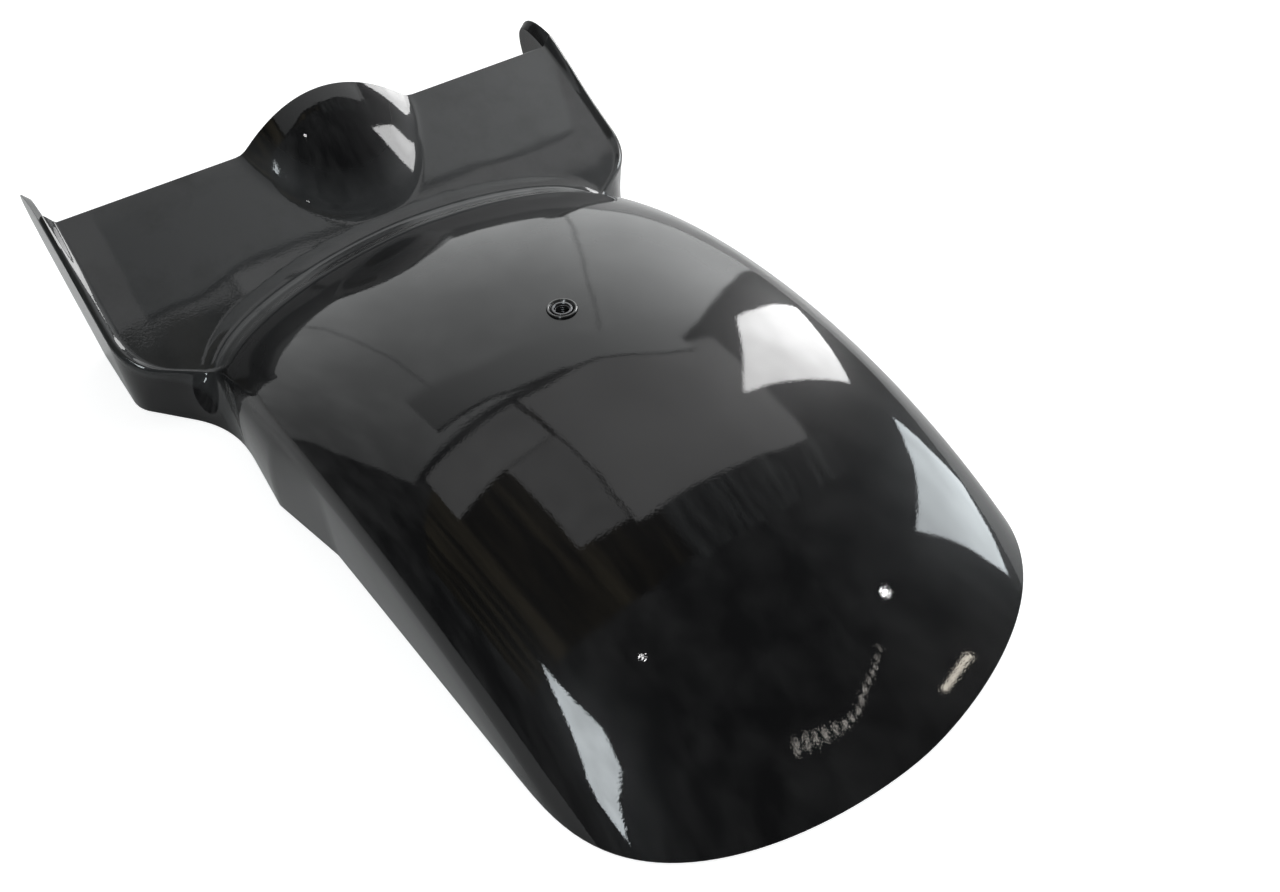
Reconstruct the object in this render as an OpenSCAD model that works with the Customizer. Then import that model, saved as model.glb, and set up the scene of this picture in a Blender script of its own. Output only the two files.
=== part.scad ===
// Rear fender of a motorbike: one moulded shell with a domed wheel cover,
// a flat seat plate in front of it, a side panel with an upturned lip at
// each side, and a threaded seat nut held in a rubber grommet.
// X runs across, Y to the front, Z up. The fender stands on its rim, z = 0.

/* [Wheel cover] */
// Radius of the curve along the centre line, outside
profile_r = 425; // [380:1:480]
// Height of the top of the cover over the rim
cover_rise = 87.9; // [70:0.1:110]
// Half of the width of the cover, outside
cover_half = 138.7; // [110:0.1:160]
// Widening of that half width towards the front, per mm
cover_taper = 0.007; // [0:0.001:0.02]
// Height of the crown above the top of the upright skirts
crown_h = 53.1; // [40:0.1:65]
// Power of the crown curve near the centre line
crown_power = 1.763; // [1.4:0.001:3]
// Power of the crown curve near the shoulder
shoulder_power = 2.549; // [1.5:0.001:4]
// Drop of the curve ahead of the top, as a share of its radius
front_drop = 0.332; // [0:0.001:0.5]
// Drop of the curve towards the tail, as a share of its radius
tail_drop = 0.011; // [0:0.001:0.05]
// Thickness of the moulded wall
wall = 4; // [2.5:0.1:6]

/* [Seat plate] */
// Slope of the plate, rising to the front
plate_slope = 33.45; // [20:0.01:45]
// Distance of the front edge of the plate from the top of the cover
plate_front = 235.7; // [220:0.1:260]
// Height of the front edge of the plate over the rim
plate_top = 87; // [70:0.1:105]
// Half of the width of the plate at its front edge, over the lips
plate_half = 171.8; // [160:0.1:185]
// Reach of the hollow fillet between the plate and the cover
cove = 12; // [4:0.5:20]

/* [Hump on the plate] */
// Half of the width of the hump at the front edge
hump_half = 57.5; // [40:0.5:70]
// Length of the hump, back from the front edge
hump_len = 53.5; // [30:0.5:60]
// Height of the hump above the plate at the front edge
hump_h = 24.5; // [10:0.5:40]
// Reach of the small fillet at the foot of the hump
hump_fillet = 2; // [1:0.1:4]

/* [Lips of the plate] */
// Height of the lip over the plate at the front edge
lip_front = 6.5; // [3:0.5:12]
// Height of the lip over the plate at the rear corner
lip_rear = 2.5; // [1:0.5:6]
// Width of the lip with its fillet
lip_w = 11; // [8:0.5:16]
// Width of the flat top of the lip
lip_crest = 2.5; // [1:0.5:4]
// Fall of the outer edge of the lip
lip_round = 2.2; // [1:0.1:4]
// Distance from the front edge back to where the lip starts to grow
lip_grow = 45.7; // [20:0.1:60]

/* [Rim seen from above] */
// How far the skirt stands out at its foot
flare_out = 7.4; // [0:0.1:12]
// Place of that foot along the part
flare_y = 49; // [30:0.5:60]
// How far the neck ahead of it stands out
neck_out = 2.7; // [0:0.1:8]
// Distance of the neck back from the front edge
neck_back = 142.7; // [135:0.1:150]
// How far the bend to the side panel stands out
sweep_out = 2.7; // [0:0.1:8]
// Distance of that bend back from the front edge
sweep_back = 114.2; // [105:0.1:120]
// How far the rear foot of the side panel stands out past the plate
foot_out = 3.2; // [0:0.1:8]
// Distance of that foot back from the front edge
foot_back = 67.7; // [55:0.1:75]
// How far the front foot of the side panel stands out past the plate
panel_out = 1.1; // [0:0.1:6]
// Distance of the front foot back from the front edge
panel_back = 5.7; // [0:0.1:20]

/* [Top edge seen from above] */
// Distance of the edge line in from the side of the cover
edge_in = 1.5; // [1:0.1:3]
// Distance in from the side of the cover where the edge leaves it
turn_in = 6.7; // [3:0.1:10]
// Distance of that place back from the front edge
turn_back = 98.7; // [90:0.1:105]
// How far the rear corner stands out past the front edge of the plate
corner_out = 3; // [0:0.1:8]
// Distance of the rear corner back from the front edge
corner_back = 79.2; // [70:0.1:85]

/* [Rounded tab at the front of the side panel] */
// Forward pull on the upper part of the tab
tab_reach = 64.3; // [20:0.1:80]
// Forward pull on the lower part of the tab
tab_low_reach = 26.3; // [0:0.1:60]
// Height of the upper pull over the front edge of the plate
tab_rise = 23; // [10:0.5:35]
// Depth of the lower pull under the front edge of the plate
tab_fall = 37; // [20:0.5:60]

/* [Seat nut] */
// Place of the nut along the part, from the top of the cover
nut_y = -7.7; // [-20:0.1:10]
// Bore in the shell
shell_bore = 12.2; // [11:0.1:14]
// Gap round the sleeve of the grommet in that bore
sleeve_gap = 0.1; // [0.05:0.05:0.2]
// Depth of the flat seat
seat_depth = 0.6; // [0.3:0.1:1.5]
// Depth of the flat spot under the shell
under_depth = 0.4; // [0.2:0.1:1]
// Width of the flange of the grommet
grommet_w = 15; // [14.5:0.1:18]
// Gap round that flange in the flat seat
seat_gap = 0.3; // [0.1:0.1:1]
// Height of the flange of the grommet
grommet_h = 1.6; // [1:0.1:3]
// Bore of the grommet
grommet_bore = 10.4; // [9.5:0.1:10.8]
// Width of the groove round the nut
groove_w = 12.6; // [11.5:0.1:13.5]
// Rounding of the edges of the grommet
grommet_edge = 0.4; // [0.2:0.1:0.6]
// Gap round the neck of the nut in the grommet
neck_gap = 0.1; // [0.05:0.05:0.3]
// Height of the neck above the flat seat
neck_up = 1.2; // [0.5:0.1:3]
// Thread bore of the nut, core of an M8 thread
thread_core = 6.8; // [6:0.1:8]
// Width of the lead-in at the top of the thread
lead_w = 8.2; // [7:0.1:9]
// Width of the flange of the nut under the shell
flange_w = 24; // [18:0.5:30]
// Gap round that flange in the flat spot
under_gap = 1; // [0.5:0.1:2]
// Thickness of that flange
flange_h = 2.5; // [1.5:0.1:4]
// Width of the barrel of the nut
barrel_w = 13; // [11:0.5:18]
// Length of the barrel below the flange
barrel_h = 5; // [2:0.5:10]

/* [Fineness] */
// Rows in the rounded tail
tail_rows = 14; // [8:1:20]
// Steps across half of the top
top_steps = 11; // [8:1:16]
// Steps down the side
side_steps = 7; // [5:1:10]
// Facets of the round parts
round_fn = 64; // [32:4:96]

/* [Hidden] */
// Sizes that follow from the ones above
rim_drop = profile_r - cover_rise;
plate_z = plate_top - tan(plate_slope) * plate_front;
turn_x = cover_half - turn_in;
turn_y = plate_front - turn_back;
corner_x = plate_half + corner_out;
corner_y = plate_front - corner_back;
sleeve_w = shell_bore - 2 * sleeve_gap;
neck_w = grommet_bore - 2 * neck_gap;
seat_w = grommet_w + 2 * seat_gap;
under_w = flange_w + 2 * under_gap;
// Rows between the corners of the two plan lines: straight ones, then in the bend
rows_between = [[8, 0], [4, 0], [3, 3], [1, 7], [3, 6], [8, 0]];
// How far each bend is cut back, on the rim and on the top edge
rim_cuts = [0, 0, 6, 22, 8];
edge_cuts = [0, 0, 6, 14, 18];
// Distances in from the top edge where the surface gets a line of points
edge_steps = [13, 9, 5.5, 2.6, 0];
// From here forward the side changes from skirt to panel, over this length
blend_y = turn_y - 42;
blend_len = 40;
// Lean and fullness of the side there
side_lean = 0.4;
side_full = 0.55;
// From here forward the tab grows
tab_start = plate_front - 35.7;
// Length over which a lip or an edge fades in
fade_len = 40;
// Share of the width over which the tail spreads its points
tail_spread = 0.35;
// Length by which a cutter passes the face it cuts
cutter = 10;

function smooth(t) = let(u = max(0, min(1, t))) u * u * (3 - 2 * u);
function soft_max(a, b, reach) =
    max(a, b) + pow(max(reach - abs(a - b), 0), 2) / (4 * reach);

// The cover: half width, centre line radius and height
function half_w(y, d) = cover_half + cover_taper * y - d;
function turn(y) = asin(max(-0.9, min(0.9, y / profile_r))) * PI / 180;
function curve_r(y) = profile_r
    * (1 - front_drop * pow(max(turn(y), 0), 3) - tail_drop * pow(min(turn(y), 0), 2));
function crown(a) = crown_h
    * pow(max(0, 1 - pow(abs(a), crown_power)), 1 / shoulder_power);
function height_at(r, y) = sqrt(max(r * r - y * y, 0)) - rim_drop;
function cover_z(x, y, d) =
    height_at(curve_r(y) - d - crown_h + crown(min(1, abs(x) / half_w(y, d))), y);
function skirt_z(y, d) = height_at(curve_r(y) - d - crown_h, y);

// The plate, its hump, and the whole top
function flat_z(y, d) = plate_z - d / cos(plate_slope) + tan(plate_slope) * y;
function hump(x, y, d) = hump_h
    * (1 - pow(x / (hump_half - d), 2) - pow((plate_front - y) / (hump_len - d), 2));
function hump_z(x, y, d) = let(h = hump(x, y, d)) max(h, 0)
    + pow(max(hump_fillet - abs(h), 0), 2) / (4 * hump_fillet);
function top_z(x, y, d) =
    soft_max(cover_z(x, y, d), flat_z(y, d) + hump_z(x, y, d), cove);
function lip_h(y) = lip_rear * smooth((y - turn_y + fade_len / 2) / fade_len)
    + (lip_front - lip_rear) * smooth((y - plate_front + lip_grow) / lip_grow);

// Plan lines through corner points, each corner drawn as a parabola
function straight(a, b, n) = [for (i = [0:1:n - 1]) a + (b - a) * i / n];
function bend(a, c, b, n) =
    [for (i = [0:1:n - 1]) let(u = i / n) a * pow(1 - u, 2) + c * 2 * u * (1 - u) + b * u * u];
function unit(v) = v / norm(v);
function before(v, cuts, i) = v[i] - unit(v[i] - v[i - 1]) * cuts[i - 1];
function after(v, cuts, i) = i == 0 ? v[0] : v[i] + unit(v[i + 1] - v[i]) * cuts[i - 1];
function plan_line(v, cuts) = [
    for (i = [1:len(v) - 2]) each concat(
        straight(after(v, cuts, i - 1), before(v, cuts, i), rows_between[i - 1][0]),
        bend(before(v, cuts, i), v[i], after(v, cuts, i), rows_between[i - 1][1])),
    each straight(after(v, cuts, len(v) - 2), v[len(v) - 1], rows_between[len(v) - 2][0]),
    v[len(v) - 1]
];
function inward(p, j, d) = let(
    a = p[max(j - 1, 0)],
    b = p[min(j + 1, len(p) - 1)],
    t = unit(b - a)) p[j] + d * [-t[1], t[0]];

// Where the rim crosses z = 0 at a share a of the half width
function rim_y(a, d, y = -cover_half, turns = 5) = turns == 0 ? y :
    rim_y(a, d, -sqrt(pow(curve_r(y) - d - crown_h + crown(a), 2) - pow(rim_drop, 2)), turns - 1);

// One row from the centre line to the rim: top, then side
function bezier2(a, b, c, u) = a * pow(1 - u, 2) + b * 2 * u * (1 - u) + c * u * u;
function bezier3(a, b, c, e, u) = a * pow(1 - u, 3) + b * 3 * u * pow(1 - u, 2)
    + c * 3 * u * u * (1 - u) + e * pow(u, 3);
function top_x(e) = concat(
    [for (i = [0:1:top_steps - 1]) i / top_steps * (e - edge_steps[0])],
    [for (s = edge_steps) e - s]);
function top_point(x, e, y, d) = [x, y, top_z(x, y, d)
    + (d > 0 ? 0 : lip_h(y) * smooth((x - e + lip_w) / (lip_w - lip_crest)))
    - (x == e ? lip_round * smooth((y - turn_y + fade_len / 2) / fade_len) : 0)];
function side_point(e, b, d, u) = let(
    s = smooth((e[1] - blend_y) / blend_len),
    c = [b[0] + (e[0] - b[0]) * side_lean * s,
         b[1] + (e[1] - b[1]) * side_lean * s,
         (1 - s) * (skirt_z(e[1], d) + edge_in) + side_full * s * e[2]],
    w = pow(smooth((e[1] - tab_start) / (plate_front - tab_start)), 2),
    t1 = [plate_half - d, plate_front + tab_reach, plate_top + tab_rise],
    t2 = [plate_half - d, plate_front + tab_low_reach, plate_top - tab_fall])
    bezier2(e, c, b, u) * (1 - w) + bezier3(e, t1, t2, b, u) * w;
function half_row(b, e, d) = let(
    tops = [for (x = top_x(e[0])) top_point(x, e[0], e[1], d)],
    last = tops[len(tops) - 1],
    foot = [b[0], b[1], 0])
    concat(tops, [for (i = [1:side_steps]) side_point(last, foot, d, i / side_steps)]);
function tail_row(a, model, d) = let(
    y = rim_y(a, d),
    n = len(model) - 1,
    w = smooth((1 - a) / tail_spread))
    [for (i = [0:n]) let(
        share = (1 - w) * model[i][0] / model[n][0] + w * i / n,
        x = a * half_w(y, d) * share)
        [x, y, i == n ? 0 : max(0, cover_z(x, y, d))]];
function mirror_row(r) = concat(
    [for (i = [len(r) - 1:-1:1]) [-r[i][0], r[i][1], r[i][2]]], r);

// All rows from the tail to the front, d in from the outside
function sheet(d) = let(
    y0 = rim_y(1, d),
    rim = plan_line([
        [half_w(y0, 0), y0],
        [cover_half, 0],
        [cover_half + flare_out, flare_y],
        [cover_half + neck_out, plate_front - neck_back],
        [cover_half + sweep_out, plate_front - sweep_back],
        [plate_half + foot_out, plate_front - foot_back],
        [plate_half + panel_out, plate_front - panel_back]], rim_cuts),
    edge = plan_line([
        [half_w(y0, 0) - edge_in, y0],
        [cover_half - edge_in, 0],
        [cover_half - edge_in, flare_y],
        [cover_half - edge_in, plate_front - neck_back],
        [turn_x, turn_y],
        [corner_x, corner_y],
        [plate_half, plate_front]], edge_cuts),
    body = [for (j = [0:len(rim) - 1]) half_row(inward(rim, j, d), inward(edge, j, d), d)],
    tail = [for (i = [1:tail_rows - 1]) tail_row(sin(90 * i / tail_rows), body[0], d)])
    [for (r = concat(tail, body)) mirror_row(r)];

outside = sheet(0);
inside = sheet(wall);
rows = len(outside);
cols = len(outside[0]);
// The part is centred along Y on its overall length
foremost = max([for (r = outside, p = r) p[1]]);
middle_y = (foremost + rim_y(0, 0)) / 2;
function flatten(l) = [for (r = l) each r];
tip_o = [0, rim_y(0, 0), 0];
tip_i = [0, rim_y(0, wall), 0];
skin_points = concat([tip_o], flatten(outside), [tip_i], flatten(inside));
layer = rows * cols + 1;
function at(s, j, i) = s * layer + 1 + j * cols + i;
function tip(s) = s * layer;
skin_faces = concat(
    [for (j = [0:rows - 2], i = [0:cols - 2]) each [
        [at(0, j, i), at(0, j + 1, i), at(0, j + 1, i + 1)],
        [at(0, j, i), at(0, j + 1, i + 1), at(0, j, i + 1)],
        [at(1, j, i), at(1, j + 1, i + 1), at(1, j + 1, i)],
        [at(1, j, i), at(1, j, i + 1), at(1, j + 1, i + 1)]]],
    [for (i = [0:cols - 2]) each [
        [tip(0), at(0, 0, i), at(0, 0, i + 1)],
        [tip(1), at(1, 0, i + 1), at(1, 0, i)],
        [at(0, rows - 1, i + 1), at(0, rows - 1, i), at(1, rows - 1, i)],
        [at(0, rows - 1, i + 1), at(1, rows - 1, i), at(1, rows - 1, i + 1)]]],
    [for (j = [0:rows - 2]) each [
        [at(0, j + 1, 0), at(0, j, 0), at(1, j, 0)],
        [at(0, j + 1, 0), at(1, j, 0), at(1, j + 1, 0)],
        [at(0, j, cols - 1), at(0, j + 1, cols - 1), at(1, j + 1, cols - 1)],
        [at(0, j, cols - 1), at(1, j + 1, cols - 1), at(1, j, cols - 1)]]],
    [[at(0, 0, 0), tip(0), tip(1)],
     [at(0, 0, 0), tip(1), at(1, 0, 0)],
     [tip(0), at(0, 0, cols - 1), at(1, 0, cols - 1)],
     [tip(0), at(1, 0, cols - 1), tip(1)]]);

// Heights at the nut
crown_z = cover_z(0, nut_y, 0);
seat_z = crown_z - seat_depth;
under_z = crown_z - wall + under_depth;
flange_z = under_z - flange_h;
barrel_z = flange_z - barrel_h;
neck_z = seat_z + neck_up;

module fender_shell() {
    color([0.03, 0.03, 0.035])
    translate([0, -middle_y, 0])
    difference() {
        polyhedron(points = skin_points, faces = skin_faces, convexity = 6);
        translate([0, nut_y, under_z - cutter])
            cylinder(h = seat_z - under_z + 2 * cutter, d = shell_bore, $fn = round_fn);
        translate([0, nut_y, seat_z])
            cylinder(h = cutter, d = seat_w, $fn = round_fn);
        translate([0, nut_y, under_z - cutter])
            cylinder(h = cutter, d = under_w, $fn = round_fn);
    }
}

module nut_grommet() {
    color([0.05, 0.05, 0.05])
    translate([0, nut_y - middle_y, 0])
    rotate_extrude($fn = round_fn)
        polygon([
            [grommet_bore / 2, under_z],
            [sleeve_w / 2, under_z],
            [sleeve_w / 2, seat_z],
            [grommet_w / 2, seat_z],
            [grommet_w / 2, seat_z + grommet_h - grommet_edge],
            [grommet_w / 2 - grommet_edge, seat_z + grommet_h],
            [groove_w / 2 + grommet_edge, seat_z + grommet_h],
            [groove_w / 2, seat_z + grommet_h - grommet_edge],
            [grommet_bore / 2, seat_z]
        ]);
}

module seat_nut() {
    color([0.25, 0.25, 0.27])
    translate([0, nut_y - middle_y, 0])
    difference() {
        union() {
            translate([0, 0, flange_z])
                cylinder(h = flange_h, d = flange_w, $fn = round_fn);
            translate([0, 0, flange_z])
                cylinder(h = neck_z - flange_z, d = neck_w, $fn = round_fn);
            translate([0, 0, barrel_z])
                cylinder(h = barrel_h, d = barrel_w, $fn = round_fn);
        }
        translate([0, 0, barrel_z - cutter])
            cylinder(h = neck_z - barrel_z + 2 * cutter, d = thread_core, $fn = round_fn);
        translate([0, 0, neck_z - (lead_w - thread_core) / 2])
            cylinder(h = lead_w - thread_core, d1 = thread_core,
                d2 = 2 * lead_w - thread_core, $fn = round_fn);
    }
}

fender_shell();
nut_grommet();
seat_nut();
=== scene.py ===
# %% [markdown]
# # A moulded motorcycle rear fender
#
# The object is one thin shell of glass fibre in deep gloss black. A domed cover goes over the
# tyre, a flat plate slopes up in front of it, and a screw fitting sits on the centre line. The
# lesson loads the measured model, sets camera and lights, and then makes the three pieces again
# with the finish of the real ones.
# %% Load the measured frame
import bpy, bmesh, math
import numpy as np
from mathutils import Matrix, Vector


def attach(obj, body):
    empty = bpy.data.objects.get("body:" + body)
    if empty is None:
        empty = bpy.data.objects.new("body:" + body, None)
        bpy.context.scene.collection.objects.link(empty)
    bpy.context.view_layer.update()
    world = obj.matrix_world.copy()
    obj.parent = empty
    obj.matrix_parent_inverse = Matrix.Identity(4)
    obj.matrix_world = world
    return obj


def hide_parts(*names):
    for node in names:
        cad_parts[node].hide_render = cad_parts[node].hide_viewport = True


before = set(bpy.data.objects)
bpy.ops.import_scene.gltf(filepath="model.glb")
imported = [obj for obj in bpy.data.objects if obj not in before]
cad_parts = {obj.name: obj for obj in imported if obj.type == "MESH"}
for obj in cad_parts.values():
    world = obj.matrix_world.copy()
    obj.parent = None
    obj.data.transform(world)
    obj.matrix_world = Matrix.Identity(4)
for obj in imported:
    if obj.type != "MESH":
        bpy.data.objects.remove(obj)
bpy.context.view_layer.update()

# %% [markdown]
# ## Camera
#
# The camera is high over the tail and to the left, and so close that the far end looks small.
# Its place, turn and lens were found by matching the fender's outline. A camera is set most
# safely from its three axes: right, up and back.
# %% Camera
TURN, TILT, ROLL = math.radians(-38.876), math.radians(45.666), math.radians(1.009)
CAMERA_PLACE = Vector((-0.2223, -0.3496, 0.4005))
LENS_MM, FILM_MM = 29.02, 36.0


def camera_axes():
    """Right, up and back of the camera."""
    back = Vector((math.sin(TURN) * math.cos(TILT), -math.cos(TURN) * math.cos(TILT), math.sin(TILT)))
    right = (-back).cross(Vector((0, 0, 1))).normalized()
    up = back.cross(right)
    return right * math.cos(ROLL) - up * math.sin(ROLL), right * math.sin(ROLL) + up * math.cos(ROLL), back


camera = bpy.data.objects.new("camera", bpy.data.cameras.new("camera"))
camera.data.lens, camera.data.sensor_width, camera.data.sensor_fit = LENS_MM, FILM_MM, "HORIZONTAL"
camera.data.clip_start, camera.data.clip_end = 0.01, 50.0
camera.matrix_world = Matrix.Translation(CAMERA_PLACE) @ Matrix(camera_axes()).transposed().to_4x4()
bpy.context.scene.collection.objects.link(camera)
bpy.context.scene.camera = camera
bpy.context.scene.view_settings.view_transform = "Standard"
print("camera looks along", [round(v, 3) for v in -camera_axes()[2]])

# %% [markdown]
# ## A small kit for materials
#
# A procedural material is a chain of nodes. These helpers add a node, join two sockets and give
# the pattern its place, so that each material below reads as a short list of steps.
# %% Node helpers
def new_material(name):
    mat = bpy.data.materials.new(name)
    mat.use_nodes = True
    return mat, mat.node_tree, mat.node_tree.nodes["Principled BSDF"]


def node(tree, kind, **inputs):
    """Adds a node and sets its inputs by name."""
    made = tree.nodes.new(kind)
    for key, value in inputs.items():
        made.inputs[key.replace("_", " ")].default_value = value
    return made


def own_place(tree):
    """The object's own coordinates."""
    return node(tree, "ShaderNodeTexCoord").outputs["Object"]


def noise(tree, scale, detail=3.0, rough=0.5):
    """Noise on the object's own coordinates, scale in features per metre."""
    made = node(tree, "ShaderNodeTexNoise", Scale=scale, Detail=detail, Roughness=rough)
    tree.links.new(own_place(tree), made.inputs["Vector"])
    return made.outputs[0]


def vector_node(tree, operation, where, *value):
    """A Vector Math node on a socket and, where needed, a constant."""
    made = tree.nodes.new("ShaderNodeVectorMath")
    made.operation = operation
    tree.links.new(where, made.inputs[0])
    if value:
        made.inputs[1].default_value = value[0]
    return made


def stretched(tree, where, factors, detail, rough):
    """Noise on coordinates multiplied by three factors, so that its spots become streaks."""
    drawn = vector_node(tree, "MULTIPLY", where, factors)
    made = node(tree, "ShaderNodeTexNoise", Scale=1.0, Detail=detail, Roughness=rough)
    tree.links.new(drawn.outputs[0], made.inputs["Vector"])
    return made.outputs[0]


def remap(tree, source, low, high, to_low, to_high):
    """Stretches low..high of a socket to the new range, and clamps outside it."""
    made = node(tree, "ShaderNodeMapRange")
    for key, value in (("From Min", low), ("From Max", high), ("To Min", to_low), ("To Max", to_high)):
        made.inputs[key].default_value = value
    tree.links.new(source, made.inputs["Value"])
    return made.outputs["Result"]


def math_node(tree, operation, *values):
    """A Math node; each value is a number or a socket."""
    made = tree.nodes.new("ShaderNodeMath")
    made.operation = operation
    for slot, value in zip(made.inputs, values):
        if isinstance(value, (int, float)):
            slot.default_value = value
        else:
            tree.links.new(value, slot)
    return made.outputs[0]


def mixed(tree, share, first, second):
    """A colour between two, by a share from 0 to 1."""
    made = tree.nodes.new("ShaderNodeMix")
    made.data_type = "RGBA"
    made.inputs["A"].default_value, made.inputs["B"].default_value = (*first, 1), (*second, 1)
    tree.links.new(share, made.inputs[0])
    return made.outputs["Result"]


def bumped(tree, heights):
    """Chains bumps: each entry is a height socket and its depth in metres."""
    last = None
    for height, depth in heights:
        made = node(tree, "ShaderNodeBump", Strength=1.0, Distance=depth)
        tree.links.new(height, made.inputs["Height"])
        if last:
            tree.links.new(last, made.inputs["Normal"])
        last = made.outputs["Normal"]
    return last


# %% [markdown]
# ## Floor, surroundings and lamps
#
# A gloss-black thing shows mostly what is round it, so the surroundings make the picture. The
# floor comes first: a plain pale sheet that keeps the object's soft shadow. Straight to the
# camera it glows up to white, and in a mirror it glows only a little. The light path tells the
# two kinds of ray apart, so the white costs the object no extra light.
# %% Floor
SEEN_WHITE, MIRRORED_WHITE = 0.78, 0.1
FLOOR_GREY, FLOOR_M = 0.55, 8.0


def white_floor():
    mat, tree, shader = new_material("floor_white")
    shader.inputs["Base Color"].default_value = (FLOOR_GREY, FLOOR_GREY, FLOOR_GREY, 1)
    shader.inputs["Roughness"].default_value = 0.9
    shader.inputs["Specular IOR Level"].default_value = 0.1
    glow, both = node(tree, "ShaderNodeEmission", Color=(1, 1, 1, 1)), node(tree, "ShaderNodeAddShader")
    path = node(tree, "ShaderNodeLightPath")
    mirrored = math_node(tree, "MAXIMUM", path.outputs["Is Glossy Ray"], path.outputs["Is Transmission Ray"])
    share = math_node(tree, "MAXIMUM", math_node(tree, "MULTIPLY", path.outputs["Is Camera Ray"], SEEN_WHITE),
                      math_node(tree, "MULTIPLY", mirrored, MIRRORED_WHITE))
    tree.links.new(share, glow.inputs["Strength"])
    tree.links.new(shader.outputs[0], both.inputs[0])
    tree.links.new(glow.outputs[0], both.inputs[1])
    tree.links.new(both.outputs[0], tree.nodes["Material Output"].inputs["Surface"])
    return mat


def add_floor():
    mesh = bpy.data.meshes.new("floor")
    h = FLOOR_M / 2
    mesh.from_pydata([(-h, -h, 0), (h, -h, 0), (h, h, 0), (-h, h, 0)], [], [(0, 1, 2, 3)])
    floor = bpy.data.objects.new("floor", mesh)
    bpy.context.scene.collection.objects.link(floor)
    mesh.materials.append(white_floor())


add_floor()
print("floor", FLOOR_M, "m wide")

# %% [markdown]
# The world is a dim hall with one light wall ahead, brighter to the right. Everything in it is
# a function of the view direction: a dot product says how far a ray leans towards a side, and a
# short ramp on that number draws a crisp border or a dark joint.
# %% World helpers
def direction(azimuth, elevation):
    """Azimuth 0 is along +Y and 90 along +X."""
    a, e = math.radians(azimuth), math.radians(elevation)
    return Vector((math.sin(a) * math.cos(e), math.cos(a) * math.cos(e), math.sin(e)))


def towards(tree, where, normal):
    """How far a direction leans towards a vector, or how far a place lies along it."""
    return vector_node(tree, "DOT_PRODUCT", where, normal).outputs["Value"]


print("straight ahead:", [round(v, 2) for v in direction(0, 0)])

# %% World
COOL = (0.98, 1.0, 1.0)
ROOM, ROOM_STREAKS = (0.05, 0.24), (7.0, 7.0, 1.6)
WALL_SIDES, WALL_FOOT, WALL_BRIGHTEST = (-38.7, 58.8), 0.6, direction(60, 22)
WALL_BROAD, WALL_NARROW, WALL_LEAST = 0.95, 1.2, 0.33
BROAD_POWER, NARROW_POWER = 1.2, 30.0
WALL_BORDER, SEAM_WIDTHS, SEAM_DARK = 0.004, (0.001, 0.006), 0.45
SEAMS = [(1.0, 0.0, 0.0), (1.0, -0.69, -0.177)]


def room_light(tree, where):
    """The dim room: upright streaks, as posts and curtains give."""
    return remap(tree, stretched(tree, where, ROOM_STREAKS, 5.0, 0.6), 0.4, 0.7, *ROOM)


def wall_glow(tree, where):
    """How bright the light wall is in a direction: more to the right."""
    lean = math_node(tree, "MAXIMUM", towards(tree, where, WALL_BRIGHTEST), 0.0)
    broad = math_node(tree, "MULTIPLY", math_node(tree, "POWER", lean, BROAD_POWER), WALL_BROAD)
    narrow = math_node(tree, "MULTIPLY", math_node(tree, "POWER", lean, NARROW_POWER), WALL_NARROW)
    return math_node(tree, "ADD", math_node(tree, "ADD", broad, narrow), WALL_LEAST)


def wall_light(tree, where):
    """The light wall: a region with crisp sides and dark joints."""
    left, right = (direction(side, 0) for side in WALL_SIDES)
    inside = 1.0
    for normal in ((left.y, -left.x, 0), (-right.y, right.x, 0), Vector((0, 1, -WALL_FOOT)).normalized()):
        past = remap(tree, towards(tree, where, normal), -WALL_BORDER, WALL_BORDER, 0, 1)
        inside = math_node(tree, "MULTIPLY", inside, past)
    for seam in SEAMS:
        off = math_node(tree, "ABSOLUTE", towards(tree, where, Vector(seam).normalized()))
        inside = math_node(tree, "MULTIPLY", inside, remap(tree, off, *SEAM_WIDTHS, SEAM_DARK, 1))
    return math_node(tree, "MULTIPLY", inside, wall_glow(tree, where))


def build_world():
    world = bpy.data.worlds.new("surroundings")
    bpy.context.scene.world = world
    world.use_nodes = True
    tree = world.node_tree
    where = node(tree, "ShaderNodeTexCoord").outputs["Generated"]
    light = math_node(tree, "ADD", room_light(tree, where), wall_light(tree, where))
    tint = tree.nodes.new("ShaderNodeCombineColor")
    for slot, share in zip(tint.inputs, COOL):
        tree.links.new(math_node(tree, "MULTIPLY", light, share), slot)
    back = tree.nodes["Background"]
    tree.links.new(tint.outputs[0], back.inputs["Color"])
    white = node(tree, "ShaderNodeBackground", Color=(1, 1, 1, 1), Strength=1.0)
    mix = node(tree, "ShaderNodeMixShader")
    tree.links.new(node(tree, "ShaderNodeLightPath").outputs["Is Camera Ray"], mix.inputs[0])
    tree.links.new(back.outputs[0], mix.inputs[1])
    tree.links.new(white.outputs[0], mix.inputs[2])
    tree.links.new(mix.outputs[0], tree.nodes["World Output"].inputs["Surface"])
    return world


surroundings = build_world()
print("world:", surroundings.name)

# %% [markdown]
# Windows, a tube, roof ribs and some ceiling cards show as patches on the cover. Each is a flat
# glowing panel that the camera doesn't see. Its corners were found by sending rays from the
# camera to the patch on the cover and on along the mirror direction. A board hangs low over the
# plate. It glows as the light wall does when seen from the cover, so only the plate shows it.
# %% Light panels
CEILING, ROOF, OVER = 1.42, 1.5, Vector((0.0, -0.04, 0.09))


def overhead(left, right, near, far, height=CEILING):
    """Corners of a ceiling panel, given by its slopes as seen from the top of the cover."""
    slopes = ((left, far), (right, far), (right, near), (left, near))
    return [OVER + height * Vector((x, y, 1)) for x, y in slopes]


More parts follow.
